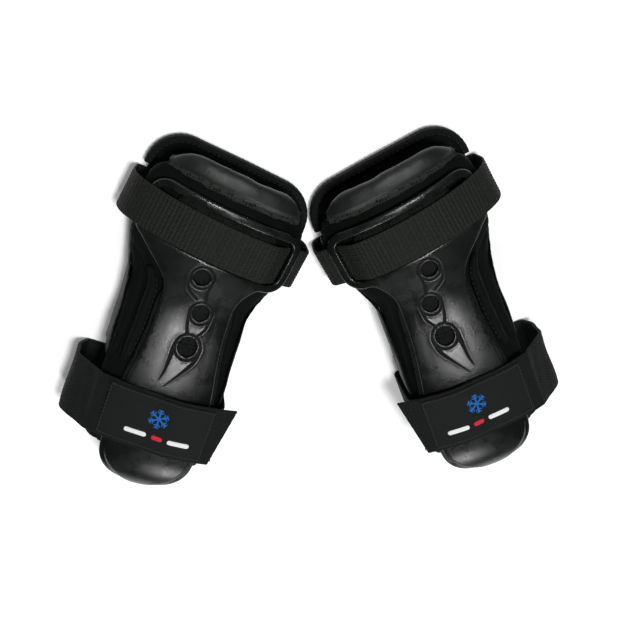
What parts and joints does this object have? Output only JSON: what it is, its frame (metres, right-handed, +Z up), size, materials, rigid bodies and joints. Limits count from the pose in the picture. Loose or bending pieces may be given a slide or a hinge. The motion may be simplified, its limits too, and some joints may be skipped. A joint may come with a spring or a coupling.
{
  "type": "wrist guard",
  "caption": "Mirrored slip-on wrist guards with vented plastic palm plates, padded cuffs, slanted forearm webbing and hook-and-loop hand straps.",
  "frame": {"origin": "on the surface that the guards lie on, at the centre of the pair's box", "axes": "+Z up from that surface, through the dorsal walls to the palm plates; +Y towards the forearm ends; +X from the left guard to the right guard"},
  "size_m": [0.3154, 0.2132, 0.0638],
  "materials": {
    "plate_plastic": "satin moulded, fine grain",
    "liner_foam": "matte closed-cell foam",
    "rivet_black": "black satin",
    "washer_metal": "bare",
    "cover_fabric": "black brushed knit",
    "wall_foam": "matte foam",
    "lining_fabric": "dark knit",
    "collar_fabric": "brushed, padded",
    "stay_plastic": "matte",
    "stretch_fabric": "stretch knit",
    "binding_tape": "folded tape",
    "webbing": "coarse woven webbing",
    "hook_tape": "hook tape",
    "loop_pile": "loop pile",
    "strap_elastic": "ribbed elastic",
    "label_weave": "woven label, stitched border"
  },
  "bodies": {
    "left_guard": {"left_palm_plate": "plate_plastic", "left_plate_liner": "liner_foam", "left_plate_rivets": "rivet_black", "left_rivet_washers": "washer_metal", "left_side_bead": "cover_fabric", "left_palm_cover": "cover_fabric", "left_palm_foam": "wall_foam", "left_palm_lining": "lining_fabric", "left_collar_pad": "collar_fabric", "left_dorsal_cover": "cover_fabric", "left_dorsal_foam": "wall_foam", "left_dorsal_stay": "stay_plastic", "left_dorsal_lining": "lining_fabric", "left_thumb_side_panel": "stretch_fabric", "left_inner_side_panel": "stretch_fabric", "left_cuff_binding": "binding_tape", "left_hand_binding": "binding_tape", "left_forearm_strap": "webbing", "left_forearm_loop_patch": "loop_pile", "left_hand_strap_base": "strap_elastic", "left_hand_strap_side": "strap_elastic", "left_hand_loop_tab": "loop_pile"},
    "left_hand_strap": {"left_hand_strap_tab": "strap_elastic", "left_hand_strap_label": "label_weave", "left_hand_hook_tape": "hook_tape"},
    "left_forearm_strap": {"left_forearm_strap_end": "webbing", "left_forearm_hook_tape": "hook_tape"},
    "right_guard": {"right_palm_plate": "plate_plastic", "right_plate_liner": "liner_foam", "right_plate_rivets": "rivet_black", "right_rivet_washers": "washer_metal", "right_side_bead": "cover_fabric", "right_palm_cover": "cover_fabric", "right_palm_foam": "wall_foam", "right_palm_lining": "lining_fabric", "right_collar_pad": "collar_fabric", "right_dorsal_cover": "cover_fabric", "right_dorsal_foam": "wall_foam", "right_dorsal_stay": "stay_plastic", "right_dorsal_lining": "lining_fabric", "right_thumb_side_panel": "stretch_fabric", "right_inner_side_panel": "stretch_fabric", "right_cuff_binding": "binding_tape", "right_hand_binding": "binding_tape", "right_forearm_strap": "webbing", "right_forearm_loop_patch": "loop_pile", "right_hand_strap_base": "strap_elastic", "right_hand_strap_side": "strap_elastic", "right_hand_loop_tab": "loop_pile"},
    "right_hand_strap": {"right_hand_strap_tab": "strap_elastic", "right_hand_strap_label": "label_weave", "right_hand_hook_tape": "hook_tape"},
    "right_forearm_strap": {"right_forearm_strap_end": "webbing", "right_forearm_hook_tape": "hook_tape"}
  },
  "joints": [
    {"name": "left_hand_strap_peel", "type": "hinge", "parent": "left_guard", "child": "left_hand_strap", "pos_m": [-0.13663, -0.04409, 0.05162], "axis": [-0.342, -0.9397, 0], "range_deg": [0, 150]},
    {"name": "left_forearm_strap_peel", "type": "hinge", "parent": "left_guard", "child": "left_forearm_strap", "pos_m": [-0.10195, 0.07396, 0.03705], "axis": [0.4695, 0.8829, 0], "range_deg": [0, 120]},
    {"name": "right_hand_strap_peel", "type": "hinge", "parent": "right_guard", "child": "right_hand_strap", "pos_m": [0.13663, -0.04409, 0.05162], "axis": [-0.342, 0.9397, 0], "range_deg": [0, 150]},
    {"name": "right_forearm_strap_peel", "type": "hinge", "parent": "right_guard", "child": "right_forearm_strap", "pos_m": [0.10195, 0.07396, 0.03705], "axis": [0.4695, -0.8829, 0], "range_deg": [0, 120]},
    {"name": "right_guard_slide", "type": "slide", "parent": "left_guard", "child": "right_guard", "axis": [1, 0, 0], "range_m": [0, 0.12]}
  ]
}
